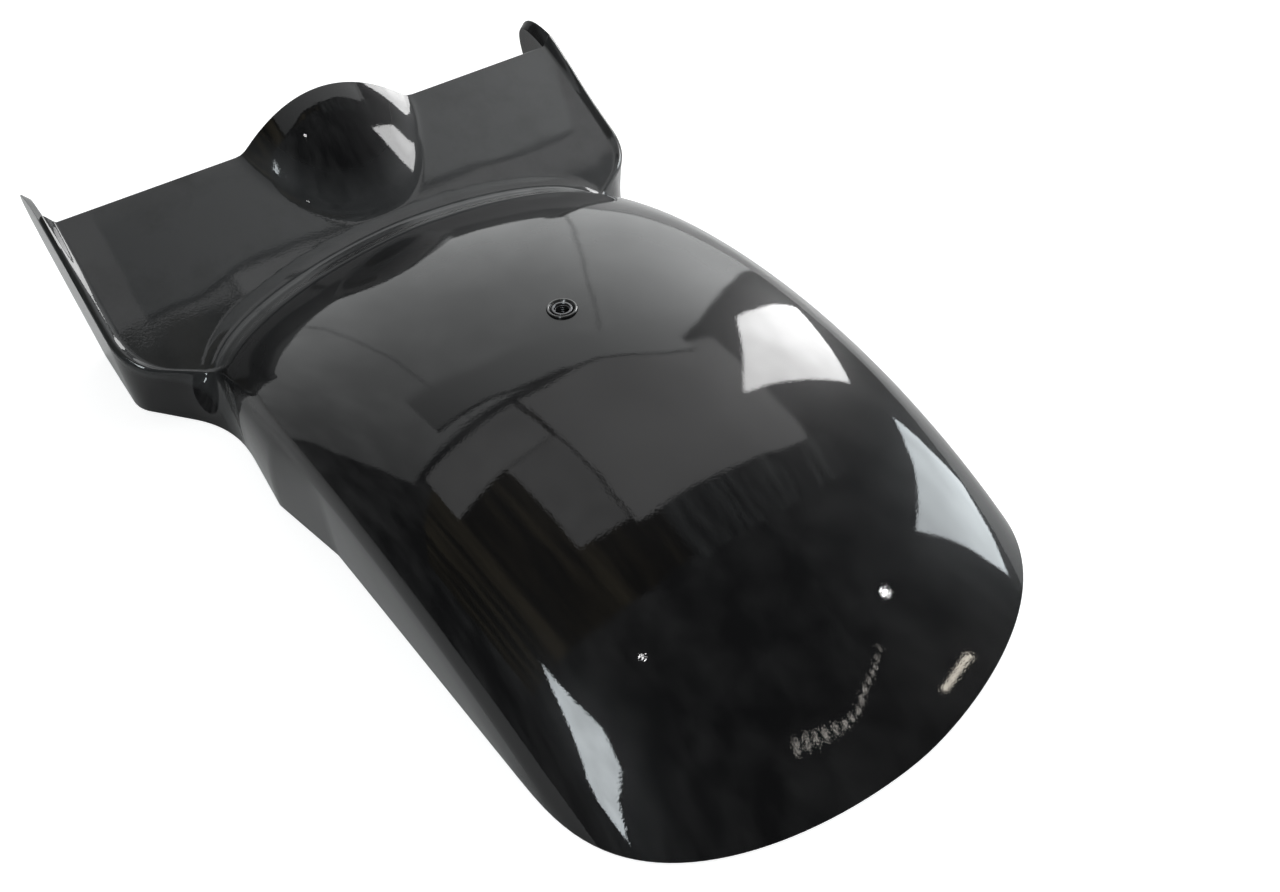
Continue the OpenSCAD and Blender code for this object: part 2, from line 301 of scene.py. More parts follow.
WHITE, SKY, WARM = (1, 1, 1), (0.9, 0.97, 1), (1, 0.93, 0.8)
PANELS = {
    # corners in metres, brightness and colour
    "window_right": ([(2.453, 1.099, 1.537), (3.027, 1.221, 0.257), (2.925, 0.299, 1.105),
                      (2.270, 0.442, 2.368)], 10.0, WHITE),
    "window_screen": ([(0.426, 0.108, 0.294), (0.521, 0.113, 0.091), (0.518, -0.059, 0.215),
                       (0.396, -0.018, 0.442)], 10.0, WHITE),
    "window_low": ([(3.077, 0.014, 0.779), (3.167, -0.353, 0.08), (2.979, -1.217, 0.265),
                    (2.700, -1.193, 1.559)], 7.0, SKY),
    "window_left": ([(-0.907, -0.366, 1.249), (-0.846, -0.574, 1.192), (-0.781, -0.744, 1.159),
                     (-0.843, -0.879, 1.027), (-1.027, -0.886, 0.851), (-1.251, -0.952, 0.604),
                     (-1.291, -0.755, 0.674), (-1.099, -0.628, 0.924), (-1.0, -0.526, 1.073)], 11.0, SKY),
    "tube": ([(0.893, -1.194, 0.595), (0.901, -1.202, 0.567), (1.075, -1.075, 0.464),
              (1.071, -1.065, 0.489)], 12.0, WARM),
    "card_long": (overhead(-0.47, 0.12, 0.33, 0.555), 0.88, WHITE),
    "card_small": (overhead(-0.09, 0.13, -0.07, 0.325), 0.85, WHITE),
    "card_square": (overhead(0.14, 1.17, -0.1, 0.555), 1.05, WHITE),
}
STRIPS = {
    # corners, strips per metre, brightness of the dark and the light strips, colour
    "roof_ribs": (overhead(0.24, 1.35, -0.33, -0.1, ROOF), 24.0, (0.05, 0.42), (0.95, 1, 1)),
    "posts": (overhead(-1.3, 0.24, -0.3, 0.5, ROOF), 7.0, (0.03, 0.26), (1, 0.85, 0.55)),
}
BOARD_EDGE = [(-0.12, 0.118, 0.308), (-0.07, 0.1195, 0.319), (-0.03, 0.1245, 0.334),
              (0.0, 0.1215, 0.345), (0.05, 0.1185, 0.360), (0.1, 0.1155, 0.374), (0.15, 0.1195, 0.387),
              (0.2, 0.1175, 0.400), (0.3, 0.1115, 0.421), (0.37, 0.1075, 0.428)]
FLECK_PATH = [(0.831, -1.101, 0.922), (0.764, -1.148, 0.931), (0.630, -1.216, 0.957),
              (0.515, -1.290, 0.943), (0.410, -1.324, 0.953), (0.281, -1.324, 0.997),
              (0.186, -1.317, 1.026)]
print("panels:", ", ".join([*PANELS, *STRIPS]))


# %% Stands for the panels
def stand(name, outlines):
    """Flat panels that light the object and show in its gloss, but not to the camera."""
    mesh = bpy.data.meshes.new(name)
    starts = np.cumsum([0] + [len(outline) for outline in outlines])
    mesh.from_pydata([tuple(c) for outline in outlines for c in outline], [],
                     [tuple(range(k, k + len(outline))) for k, outline in zip(starts, outlines)])
    mat, tree, _ = new_material(name)
    mesh.materials.append(mat)
    panel = bpy.data.objects.new(name, mesh)
    bpy.context.scene.collection.objects.link(panel)
    panel.visible_camera = panel.visible_shadow = False
    return tree


def glow_with(tree, strength, colour):
    """Makes the panel's material an emission of this strength."""
    glow = node(tree, "ShaderNodeEmission", Color=(*colour, 1))
    tree.links.new(strength, glow.inputs["Strength"])
    tree.links.new(glow.outputs[0], tree.nodes["Material Output"].inputs["Surface"])
    return glow


def add_panel(name, outlines, brightness, colour):
    """A panel that glows a little unevenly, with a few spots over its length."""
    tree = stand(name, outlines)
    across = (Vector(outlines[0][0]) - Vector(outlines[0][2])).length
    uneven = remap(tree, noise(tree, 3.0 / across, 1), 0.3, 0.7, 0.88 * brightness, 1.1 * brightness)
    glow_with(tree, uneven, colour)


def add_strips(name, corners, scale, levels, colour):
    """A panel of uneven strips along Y, as a ribbed roof or a row of posts gives."""
    tree = stand(name, [corners])
    strips = stretched(tree, own_place(tree), (scale, 0.08 * scale, 1.0), 4.0, 0.7)
    glow_with(tree, remap(tree, strips, 0.42, 0.66, *levels), colour)


print("a panel is made of an outline, a brightness and a colour")

# %% Board and flecks
BOARD_DEPTH, BOARD_FADE, RIM_W, RIM_GLOW = 0.10, (0.19, 0.215), 0.005, 0.05
FLECKS, FLECK_TALL, FLECK_WIDE = 15, (0.008, 0.044), (0.0045, 0.003)
FLECK_GLOW, FLECK_COLOUR = 18.0, (1, 0.95, 0.88)


def band_along(edge, width):
    """Four-cornered outlines along an edge, as wide as given towards +Y or -Y."""
    step = Vector((0, width, 0))
    return [[a, b, b + step, a + step] for a, b in zip(edge, edge[1:])]


def add_board():
    """A board over the plate. From the cover it looks like the light wall, so the two blend."""
    edge = [Vector(point) for point in BOARD_EDGE]
    tree = stand("board", band_along(edge, BOARD_DEPTH))
    ray = vector_node(tree, "NORMALIZE", vector_node(tree, "SUBTRACT", own_place(tree), OVER).outputs[0])
    glow = glow_with(tree, wall_glow(tree, ray.outputs[0]), COOL)
    mix = node(tree, "ShaderNodeMixShader")
    tree.links.new(remap(tree, towards(tree, own_place(tree), (0, 1, 0)), *BOARD_FADE, 0, 1), mix.inputs[0])
    tree.links.new(glow.outputs[0], mix.inputs[1])
    tree.links.new(tree.nodes.new("ShaderNodeBsdfTransparent").outputs[0], mix.inputs[2])
    tree.links.new(mix.outputs[0], tree.nodes["Material Output"].inputs["Surface"])
    add_panel("board_rim", band_along(edge, -RIM_W), RIM_GLOW, WHITE)


def row_of_flecks():
    """A row of small glints along a bent line, as the edges of stacked metal give."""
    path = np.array(FLECK_PATH)
    far = np.concatenate([[0], np.cumsum(np.linalg.norm(np.diff(path, axis=0), axis=1))])
    outlines = []
    for at in np.linspace(0, far[-1], FLECKS):
        middle = np.array([np.interp(at, far, path[:, k]) for k in range(3)])
        tall, wide = (np.interp(at, [0, far[-1]], ends) for ends in (FLECK_TALL, FLECK_WIDE))
        corners = ((-wide, -tall, 0), (wide, -tall, 0), (wide, tall, 0), (-wide, tall, 0))
        outlines.append([middle + np.array(corner) for corner in corners])
    return outlines


for name, (corners, brightness, colour) in PANELS.items():
    add_panel(name, [corners], brightness, colour)
for name, values in STRIPS.items():
    add_strips(name, *values)
add_panel("flecks", row_of_flecks(), FLECK_GLOW, FLECK_COLOUR)
add_board()
print("staged panels:", len(PANELS) + len(STRIPS) + 3)

# %% [markdown]
# Two small round lamps give the two hard glints. The brightness of such a lamp is its power over
# its area, so the power is worked out from the brightness that should show.
# %% Lamps
SPOTS = [
    # name, azimuth, elevation, width in metres, brightness
    ("lamp_back", 130.3, 34.5, 0.035, 90.0),
    ("lamp_left", -161.6, 64.2, 0.03, 70.0),
]


def add_spot(name, azimuth, elevation, width, brightness, away=2.13):
    """A small round lamp that faces the cover and shows there with the given brightness."""
    lamp = bpy.data.lights.new(name, "AREA")
    lamp.shape, lamp.size = "DISK", width
    lamp.energy = brightness * math.pi * math.pi * width * width / 4
    spot = bpy.data.objects.new(name, lamp)
    place = direction(azimuth, elevation) * away
    spot.matrix_world = Matrix.Translation(place) @ place.to_track_quat("Z", "Y").to_matrix().to_4x4()
    bpy.context.scene.collection.objects.link(spot)


for values in SPOTS:
    add_spot(*values)
print("lamps:", [values[0] for values in SPOTS])

# %% [markdown]
# ## The shape of the shell
#
# A fender like this is laid up in a mould, and the mould's surface follows a few rules: an arc
# along the centre line, a crown across, a flat plate, and a hollow fillet where the two meet. A
# subdivided cage could be pushed about until it looks right. Formulas are used instead, because
# the reflections on gloss black show every uneven spot. The sizes are those of the CAD model, in
# millimetres. Only the hump and the lips differ, by about two millimetres, for truer highlights.
# %% Sizes of the cover, the plate and the hump
MM = 0.001
PROFILE_R, COVER_RISE, COVER_HALF, COVER_TAPER = 425.0, 87.9, 138.7, 0.007
CROWN_H, CROWN_POWER, SHOULDER_POWER = 53.1, 1.763, 2.549
FRONT_DROP, TAIL_DROP, WALL, EDGE_R = 0.332, 0.011, 4.0, 1.0
SLOPE, PLATE_FRONT, PLATE_TOP, PLATE_HALF = math.tan(math.radians(33.45)), 235.7, 87.0, 171.8
COVE, CREASE, CREASE_PEAK = 12.0, 0.35, 6.75
HUMP_HALF, HUMP_LEN, HUMP_H, HUMP_POWER, HUMP_FILLET = 56.0, 53.0, 24.5, 1.6, 3.5
LIP_FRONT, LIP_REAR, LIP_W, LIP_CREST, LIP_ROUND, LIP_GROW = 6.5, 2.5, 7.5, 2.0, 2.2, 45.7
RIM_DROP, PLATE_Z = PROFILE_R - COVER_RISE, PLATE_TOP - SLOPE * PLATE_FRONT
print("plate slope", round(SLOPE, 3), "cover", 2 * COVER_HALF, "mm wide")

# %% [markdown]
# The cover's height at a point comes from its arc and its crown. Where cover and plate meet, a
# soft maximum rounds the corner into the hollow fillet. The plate's side of that fillet ends in
# a fine crisp line on the real shell, so a third of a millimetre is added towards that line, and
# the surface breaks there.
# %% Height of the top
def smooth(t):
    """Rises from 0 to 1 with level ends."""
    u = np.clip(t, 0, 1)
    return u * u * (3 - 2 * u)


def curve_radius(y):
    """The arc along the centre line, which tightens towards front and tail."""
    turn = np.arcsin(np.clip(y / PROFILE_R, -0.9, 0.9))
    return PROFILE_R * (1 - FRONT_DROP * np.maximum(turn, 0) ** 3 - TAIL_DROP * np.minimum(turn, 0) ** 2)


def crown(share):
    """The rise above the side edge, at a share of the half width."""
    return CROWN_H * np.maximum(0, 1 - np.abs(share) ** CROWN_POWER) ** (1 / SHOULDER_POWER)


def height_at(radius, y):
    return np.sqrt(np.maximum(radius * radius - y * y, 0)) - RIM_DROP


def half_width(y):
    return COVER_HALF + COVER_TAPER * y


def cover_z(x, y, d):
    """The cover's height, d in from its outside."""
    share = np.minimum(1, np.abs(x) / (half_width(y) - d))
    return height_at(curve_radius(y) - d - CROWN_H + crown(share), y)


def hump_z(x, y, d):
    """The hump's height over the plate, with a fillet round its foot."""
    across, along = x / (HUMP_HALF - d), np.abs((PLATE_FRONT - y) / (HUMP_LEN - d))
    h = HUMP_H * (1 - across ** 2 - along ** HUMP_POWER)
    return np.maximum(h, 0) + np.maximum(HUMP_FILLET - np.abs(h), 0) ** 2 / (4 * HUMP_FILLET)


def top_z(x, y, d):
    """Cover, plate and hump in one, with the crisp line on the outside only."""
    cover = cover_z(x, y, d)
    plate = PLATE_Z - d * math.hypot(1, SLOPE) + SLOPE * y + hump_z(x, y, d)
    z = np.maximum(cover, plate) + np.maximum(COVE - np.abs(cover - plate), 0) ** 2 / (4 * COVE)
    if d > 0:
        return z
    u = np.clip(1 - (plate - cover) / COVE, 0, 1)
    return z + CREASE * CREASE_PEAK * u * (1 - u) ** 2 * (plate > cover)


print("top of the cover", round(float(cover_z(0.0, 0.0, 0)), 1), "mm")
print("top of the front edge", round(float(top_z(0.0, PLATE_FRONT, 0)), 1), "mm")

# %% [markdown]
# Seen from above, the shell is drawn by two lines: the rim that stands on the floor, and the top
# edge where the surface turns down. Each goes through corner points, and each corner is bent
# into a parabola. A row of points then runs from the centre line out to the top edge and down to
# the rim.
# %% Sizes of the plan
FLARE_OUT, FLARE_Y, NECK_OUT, NECK_BACK = 7.4, 49.0, 2.7, 142.7
SWEEP_OUT, SWEEP_BACK, FOOT_OUT, FOOT_BACK = 2.7, 114.2, 3.2, 67.7
PANEL_OUT, PANEL_BACK = 1.1, 5.7
EDGE_IN, CORNER_OUT, CORNER_BACK = 1.5, 3.0, 79.2
TURN_X, TURN_Y, TURN_BLEND = COVER_HALF - 6.7, PLATE_FRONT - 98.7, 40.0
RIM_CUTS, EDGE_CUTS = (0, 0, 6, 22, 8), (0, 0, 6, 14, 18)
print("the edge turns outward at", TURN_X, round(TURN_Y, 1))

# %% Plan lines
COUNTS = [(46, 0), (12, 0), (9, 5), (4, 16), (10, 16), (30, 0)]
TOP_STEPS, EDGE_STEPS, SIDE_STEPS, TAIL_ROWS = 50, 16, 26, 36


def plan_line(corners, cuts):
    """A line through corners, each cut back by its length and bent, with COUNTS points."""
    v = np.array(corners, float)
    way = np.diff(v, axis=0) / np.linalg.norm(np.diff(v, axis=0), axis=1)[:, None]
    points, start = [], v[0]
    for i in range(1, len(v) - 1):
        into, out = v[i] - way[i - 1] * cuts[i - 1], v[i] + way[i] * cuts[i - 1]
        straight, bent = COUNTS[i - 1]
        points += [start + (into - start) * k / straight for k in range(straight)]
        shares = [k / bent for k in range(bent)]
        points += [into * (1 - t) ** 2 + v[i] * 2 * t * (1 - t) + out * t * t for t in shares]
        start = out
    last = COUNTS[-1][0]
    return np.array(points + [start + (v[-1] - start) * k / last for k in range(last + 1)])


def moved_in(line, d):
    """The same line, d to the inside."""
    padded = np.vstack([line[:1], line, line[-1:]])
    along = padded[2:] - padded[:-2]
    along /= np.linalg.norm(along, axis=1)[:, None]
    return line + d * np.stack([-along[:, 1], along[:, 0]], 1)


def rim_y(share, d, lift):
    """Where the tail comes down to the height lift, at a share of the half width."""
    y = -COVER_HALF
    for _ in range(6):
        y = -math.sqrt((curve_radius(y) - d - CROWN_H + crown(share)) ** 2 - (RIM_DROP + lift) ** 2)
    return float(y)


print("tail end at", round(rim_y(0, 0, 0), 1), "mm from the top of the arc")

# %% [markdown]
# A row of points follows the top and then a curve down the side. Behind the turn that curve is
# the skirt, in front of it the upright panel, and at the front the rounded tab. Each change is
# blended over a few centimetres. The tail has rows of its own, one for each share of the width.
# %% Rows of points
EDGE_BAND, EDGE_ROLL, SKIRT_UP = 13.0, 2.6, 1.5
PULL_BACK, PULL_HEIGHT, TAIL_EVEN, PANEL_EARLY = 0.4, 0.55, 0.35, 42.0
TAB_LEN, TAB_REACH, TAB_LOW_REACH, TAB_RISE, TAB_FALL = 35.7, 64.3, 26.3, 23.0, 37.0


def past_turn(y, early=20.0):
    """From 0 behind the place where the edge turns outward to 1 in front of it."""
    return smooth((y - TURN_Y + early) / TURN_BLEND)


def lip_height(y):
    """The lip starts at the turn and grows to the front."""
    return (LIP_REAR * past_turn(y)
            + (LIP_FRONT - LIP_REAR) * smooth((y - PLATE_FRONT + LIP_GROW) / LIP_GROW))


def half_row(foot_xy, edge_xy, d, lift):
    """Points from the centre line to the top edge, then down the side to the rim."""
    e, y = edge_xy
    x = np.concatenate([np.arange(TOP_STEPS) / TOP_STEPS * (e - EDGE_BAND),
                        e - EDGE_BAND + EDGE_BAND * np.arange(EDGE_STEPS + 1) / EDGE_STEPS])
    z = top_z(x, y, d) + (0 if d else lip_height(y) * smooth((x - e + LIP_W) / (LIP_W - LIP_CREST)))
    z = z - LIP_ROUND * past_turn(y) * np.clip((x - e + EDGE_ROLL) / EDGE_ROLL, 0, 1) ** 2
    top = np.stack([x, np.full_like(x, y), z], 1)
    edge, foot = top[-1], np.array([foot_xy[0], foot_xy[1], lift])
    panel = past_turn(y, PANEL_EARLY)
    skirt = height_at(curve_radius(y) - d - CROWN_H, y) + SKIRT_UP
    back = PULL_BACK * panel
    pull = np.array([foot[0] + (e - foot[0]) * back, foot[1] + (y - foot[1]) * back,
                     (1 - panel) * skirt + PULL_HEIGHT * panel * edge[2]])
    tab = smooth((y - PLATE_FRONT + TAB_LEN) / TAB_LEN) ** 2
    high = np.array([PLATE_HALF - d, PLATE_FRONT + TAB_REACH, PLATE_TOP + TAB_RISE])
    low = np.array([PLATE_HALF - d, PLATE_FRONT + TAB_LOW_REACH, PLATE_TOP - TAB_FALL])
    u = np.arange(1, SIDE_STEPS + 1)[:, None] / SIDE_STEPS
    plain = edge * (1 - u) ** 2 + pull * 2 * u * (1 - u) + foot * u * u
    round_tab = (edge * (1 - u) ** 3 + high * 3 * u * (1 - u) ** 2
                 + low * 3 * u * u * (1 - u) + foot * u ** 3)
    return np.vstack([top, plain * (1 - tab) + round_tab * tab])


def tail_half_row(share, model, d, lift):
    """A row across the tail, with the model row's spacing near the side."""
    y = rim_y(share, d, lift)
    even = smooth((1 - share) / TAIL_EVEN)
    n = len(model) - 1
    spread = (1 - even) * model[:, 0] / model[n, 0] + even * np.arange(n + 1) / n
    x = share * (half_width(y) - d) * spread
    z = np.maximum(lift, cover_z(x, y, d))
    z[-1] = lift
    return np.stack([x, np.full_like(x, y), z], 1)


def sheet(d, lift, front):
    """All rows from tail to front edge, d in from the outside; front is cut off at the edge."""
    y0, e0, neck_y = rim_y(1, d, lift), COVER_HALF - EDGE_IN, PLATE_FRONT - NECK_BACK
    rim = plan_line([(half_width(y0), y0), (COVER_HALF, 0), (COVER_HALF + FLARE_OUT, FLARE_Y),
                     (COVER_HALF + NECK_OUT, neck_y), (COVER_HALF + SWEEP_OUT, PLATE_FRONT - SWEEP_BACK),
                     (PLATE_HALF + FOOT_OUT, PLATE_FRONT - FOOT_BACK),
                     (PLATE_HALF + PANEL_OUT, PLATE_FRONT - PANEL_BACK - front)], RIM_CUTS)
    edge = plan_line([(half_width(y0) - EDGE_IN, y0), (e0, 0), (e0, FLARE_Y), (e0, neck_y), (TURN_X, TURN_Y),
                      (PLATE_HALF + CORNER_OUT, PLATE_FRONT - CORNER_BACK),
                      (PLATE_HALF, PLATE_FRONT - front)], EDGE_CUTS)
    body = [half_row(b, e, d, lift) for b, e in zip(moved_in(rim, d), moved_in(edge, d))]
    tail = [tail_half_row(math.sin(math.pi / 2 * i / TAIL_ROWS), body[0], d, lift) for i in range(1, TAIL_ROWS)]
    half = np.array(tail + body)
    return np.concatenate([half[:, :0:-1] * [-1, 1, 1], half], 1), np.array([0, rim_y(0, d, lift), lift])


outside, outside_tip = sheet(0.0, EDGE_R, EDGE_R)
inside, inside_tip = sheet(WALL, EDGE_R, EDGE_R)
middle_y = (sheet(0.0, 0, 0)[0][..., 1].max() + rim_y(0, 0, 0)) / 2
print("rows and columns", outside.shape[:2], "middle", round(middle_y, 3))

# %% [markdown]
# ## From points to a closed shell
#
# Two sheets alone are a paper model. A band round the whole border joins them: a quarter round,
# a flat and a quarter round, as a trimmed and rubbed-down moulding has. The inner faces get a
# second material, because the back of a laminate isn't polished.
# %% Join the sheets
def border(grid, tip):
    """The border points in order, and the point next to each of them on the sheet."""
    r, c = grid.shape[:2]
    spots = [(j, c - 1, j, c - 2) for j in range(r - 1)] + [(r - 1, c - 1, r - 2, c - 2)]
    spots += [(r - 1, i, r - 2, i) for i in range(c - 2, 0, -1)]
    spots += [(r - 1, 0, r - 2, 1)] + [(j, 0, j, 1) for j in range(r - 2, -1, -1)]
    at = np.array([tip] + [grid[a, b] for a, b, _, _ in spots])
    near = np.array([grid[1, c // 2]] + [grid[a, b] for _, _, a, b in spots])
    index = [r * c] + [a * c + b for a, b, _, _ in spots]
    return at, near, index


def unit_rows(v):
    return v / np.linalg.norm(v, axis=1)[:, None]


def rim_band(at_o, near_o, at_i, near_i, steps=3):
    """Rings of points that turn from the outer sheet round the edge to the inner sheet."""
    across = unit_rows(at_i - at_o)
    rings = []
    turns = ((at_o, near_o, 1, range(1, steps + 1)), (at_i, near_i, -1, range(steps, 0, -1)))
    for at, near, side, angles in turns:
        out = at - near
        out = unit_rows(out - across * (out * across).sum(1)[:, None])
        for k in angles:
            a = math.pi / 2 * k / steps
            rings.append(at + EDGE_R * (out * math.sin(a) + side * across * (1 - math.cos(a))))
    return rings


def grid_faces(r, c, start):
    firsts = [start + j * c + i for j in range(r - 1) for i in range(c - 1)]
    quads = [(k, k + c, k + c + 1, k + 1) for k in firsts]
    return quads + [(start + r * c, start + i, start + i + 1) for i in range(c - 1)]


def shell_mesh():
    r, c = outside.shape[:2]
    at_o, near_o, index_o = border(outside, outside_tip)
    at_i, near_i, index_i = border(inside, inside_tip)
    rings = rim_band(at_o, near_o, at_i, near_i)
    layer, ring = r * c + 1, len(index_o)
    points = np.vstack([outside.reshape(-1, 3), outside_tip, inside.reshape(-1, 3), inside_tip, *rings])
    points = (points - [0, middle_y, 0]) * MM
    faces = grid_faces(r, c, 0)
    inner = [tuple(reversed(f)) for f in grid_faces(r, c, layer)]
    loops = [index_o] + [[2 * layer + k * ring + m for m in range(ring)] for k in range(len(rings))]
    loops += [[layer + m for m in index_i]]
    band = [(a[m], b[m], b[(m + 1) % ring], a[(m + 1) % ring])
            for a, b in zip(loops, loops[1:]) for m in range(ring)]
    mesh = bpy.data.meshes.new("fender_shell_gloss")
    mesh.from_pydata([tuple(p) for p in points], [], faces + band + inner)
    mesh.polygons.foreach_set("material_index", [0] * (len(faces) + len(band)) + [1] * len(inner))
    mesh.update()
    return mesh


def link(name, mesh):
    piece = bpy.data.objects.new(name, mesh)
    bpy.context.scene.collection.objects.link(piece)
    return piece


shell = link("fender_shell_gloss", shell_mesh())
print("shell faces", len(shell.data.polygons))

# %% [markdown]
# ## The hole for the fitting
#
# The shell is bored on the centre line, with a shallow flat seat above and a flat spot below. One
# turned cutter makes all three, as a stepped drill would. Its steps are the CAD model's. The new
# corners are marked sharp, so that the cover next to them keeps its smooth reflections.
# %% Turned shapes
NUT_FROM_CREST, SEAT_DEPTH, UNDER_DEPTH = -7.7, 0.6, 0.4
BORE_R, SEAT_R, UNDER_R, CUT_PAST = 6.1, 7.8, 13.0, 10.0
NUT_Y, CROWN_TOP = NUT_FROM_CREST - middle_y, float(cover_z(0.0, NUT_FROM_CREST, 0))
SEAT_Z, UNDER_Z = CROWN_TOP - SEAT_DEPTH, CROWN_TOP - WALL + UNDER_DEPTH


def turned(name, profile, sides=96):
    """A mesh turned about the fitting's axis from (radius, height) points, in millimetres."""
    form = bmesh.new()
    rings = []
    for radius, z in profile:
        spots = sides if radius > 0 else 1
        turns = [2 * math.pi * k / spots for k in range(spots)]
        rings.append([form.verts.new((radius * MM * math.cos(a), (NUT_Y + radius * math.sin(a)) * MM, z * MM))
                      for a in turns])
    for low, high in zip(rings, rings[1:] + rings[:1]):
        if len(low) == len(high) == 1:
            continue
        for k in range(sides):
            after = k + 1
            corners = [low[k % len(low)], low[after % len(low)], high[after % len(high)], high[k % len(high)]]
            form.faces.new(list(dict.fromkeys(corners)))
    bmesh.ops.recalc_face_normals(form, faces=form.faces)
    mesh = bpy.data.meshes.new(name)
    form.to_mesh(mesh)
    form.free()
    return mesh


def plain_mesh(piece):
    """Applies the modifiers by taking the evaluated mesh."""
    evaluated = piece.evaluated_get(bpy.context.evaluated_depsgraph_get())
    mesh = bpy.data.meshes.new_from_object(evaluated)
    piece.modifiers.clear()
    piece.data = mesh
    return mesh


def soften(mesh, limit=40.0):
    """Shades smooth, with edges sharper than the limit left crisp."""
    form = bmesh.new()
    form.from_mesh(mesh)
    for face in form.faces:
        face.smooth = True
    for edge in form.edges:
        edge.smooth = len(edge.link_faces) == 2 and edge.calc_face_angle(0.0) < math.radians(limit)
    form.to_mesh(mesh)
    form.free()


steps = [(0, UNDER_Z - CUT_PAST), (UNDER_R, UNDER_Z - CUT_PAST), (UNDER_R, UNDER_Z), (BORE_R, UNDER_Z),
         (BORE_R, SEAT_Z), (SEAT_R, SEAT_Z), (SEAT_R, SEAT_Z + CUT_PAST), (0, SEAT_Z + CUT_PAST)]
cutter = link("cutter", turned("cutter", steps))
bore = shell.modifiers.new("bore", "BOOLEAN")
bore.operation, bore.solver, bore.object = "DIFFERENCE", "EXACT", cutter
plain_mesh(shell)
bpy.data.objects.remove(cutter)
soften(shell.data)
print("after boring:", len(shell.data.polygons), "faces")

# %% [markdown]
# ## Gloss black, and the rough inside
#
# The paint is black under a clear coat. The coat gives the sharp reflections and the paint below
# it a faint wide sheen. Two bumps sit on top: a slow wave of a few centimetres, which a moulded
# laminate always has, and the fine peel of sprayed paint. The plate gets painted sheen: a lighter,
# uneven base colour that stands in for a brighter reflection there. It is mixed in by the height
# above the plate's plane, so the cover and the hump stay dark. The inside is bare laminate, dull,
# with the print of the glass mat.
# %% Gloss black
# The lighter black is painted sheen: it brightens the plate as a stronger reflection would.
PLAIN_BLACK, PAINTED_SHEEN_BLACK = (0.003, 0.003, 0.0035), (0.027, 0.028, 0.029)
PAINTED_SHEEN_FROM, PAINTED_SHEEN_TO = (-0.006, -0.003), (0.004, 0.012)
WAVE_DEPTH, PEEL_DEPTH = 0.00025, 0.000012


def painted_sheen_share(tree):
    """Painted sheen, lighter and uneven, only where the surface lies near the plate's plane."""
    painted_sheen = remap(tree, noise(tree, 35, 6, 0.65), 0.25, 0.75, 0.6, 1.3)
    lift = towards(tree, own_place(tree), (0, -SLOPE, 1))
    plane = (PLATE_Z + SLOPE * middle_y) * MM
    above = remap(tree, lift, plane + PAINTED_SHEEN_FROM[0], plane + PAINTED_SHEEN_FROM[1], 0, 1)
    below = remap(tree, lift, plane + PAINTED_SHEEN_TO[0], plane + PAINTED_SHEEN_TO[1], 1, 0)
    return math_node(tree, "MULTIPLY", painted_sheen, math_node(tree, "MULTIPLY", above, below))


def gloss_black():
    mat, tree, shader = new_material("gloss_black_shell")
    # The plate's base colour is lightened here by painted sheen.
    tree.links.new(mixed(tree, painted_sheen_share(tree), PLAIN_BLACK, PAINTED_SHEEN_BLACK), shader.inputs["Base Color"])
    shader.inputs["Specular IOR Level"].default_value = 0.08
    shader.inputs["Coat Weight"].default_value = 1.0
    shader.inputs["Coat Roughness"].default_value = 0.015
    tree.links.new(remap(tree, noise(tree, 14, 4), 0.3, 0.7, 0.30, 0.42), shader.inputs["Roughness"])
    normal = bumped(tree, [(noise(tree, 28, 1), WAVE_DEPTH), (noise(tree, 900, 2), PEEL_DEPTH)])
    tree.links.new(normal, shader.inputs["Normal"])
    tree.links.new(normal, shader.inputs["Coat Normal"])
    return mat


# The band round the plate's plane where the painted sheen lies.
print("dust lies from", PAINTED_SHEEN_FROM, "to", PAINTED_SHEEN_TO, "m round the plate's plane")

# %% Bare laminate
LAMINATE_DARK, LAMINATE_LIGHT = (0.012, 0.012, 0.012), (0.035, 0.034, 0.031)


def bare_laminate():
    mat, tree, shader = new_material("bare_laminate_inside")
    shader.inputs["Roughness"].default_value = 0.55
    mottle, mat_print = noise(tree, 60, 5, 0.7), noise(tree, 700, 4, 0.8)
    tree.links.new(mixed(tree, mottle, LAMINATE_DARK, LAMINATE_LIGHT), shader.inputs["Base Color"])
    tree.links.new(bumped(tree, [(mottle, 0.0006), (mat_print, 0.0002)]), shader.inputs["Normal"])
    return mat


shell.data.materials.clear()
shell.data.materials.append(gloss_black())
shell.data.materials.append(bare_laminate())
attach(shell, "root")
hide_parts("fender_shell")
print("shell finishes:", [m.name for m in shell.data.materials])

# %% [markdown]
# ## The rubber ring
#
# A rubber grommet lines the hole: a flat ring on the cover, with a sleeve through it. It is a
# turned part, so its profile is drawn once and turned, with small rounded corners that catch the
# light.
# %% Grommet
def arc(cx, cz, radius, start, end, steps=4):
    """Points of an arc in a profile, angles in degrees from the outward direction."""
    angles = [math.radians(start + (end - start) * k / steps) for k in range(steps + 1)]
    return [(cx + radius * math.cos(a), cz + radius * math.sin(a)) for a in angles]


RING_H, RING_R, GROOVE_R, SLEEVE_R, GROMMET_BORE = 1.6, 7.5, 6.4, 6.0, 5.2
OUTER_ROUND, INNER_ROUND, FOOT_IN = 0.5, 0.4, 0.1
RING_TOP = SEAT_Z + RING_H
ring_profile = [(GROMMET_BORE, UNDER_Z), (SLEEVE_R, UNDER_Z), (SLEEVE_R, SEAT_Z), (RING_R - FOOT_IN, SEAT_Z)]
ring_profile += arc(RING_R - OUTER_ROUND, RING_TOP - OUTER_ROUND, OUTER_ROUND, 0, 90)
ring_profile += arc(GROOVE_R + INNER_ROUND, RING_TOP - INNER_ROUND, INNER_ROUND, 90, 180)
ring_profile += [(GROMMET_BORE, SEAT_Z)]
grommet = link("nut_grommet_ring", turned("nut_grommet_ring", ring_profile))
soften(grommet.data)


RUBBER_DEPTH = 0.00002


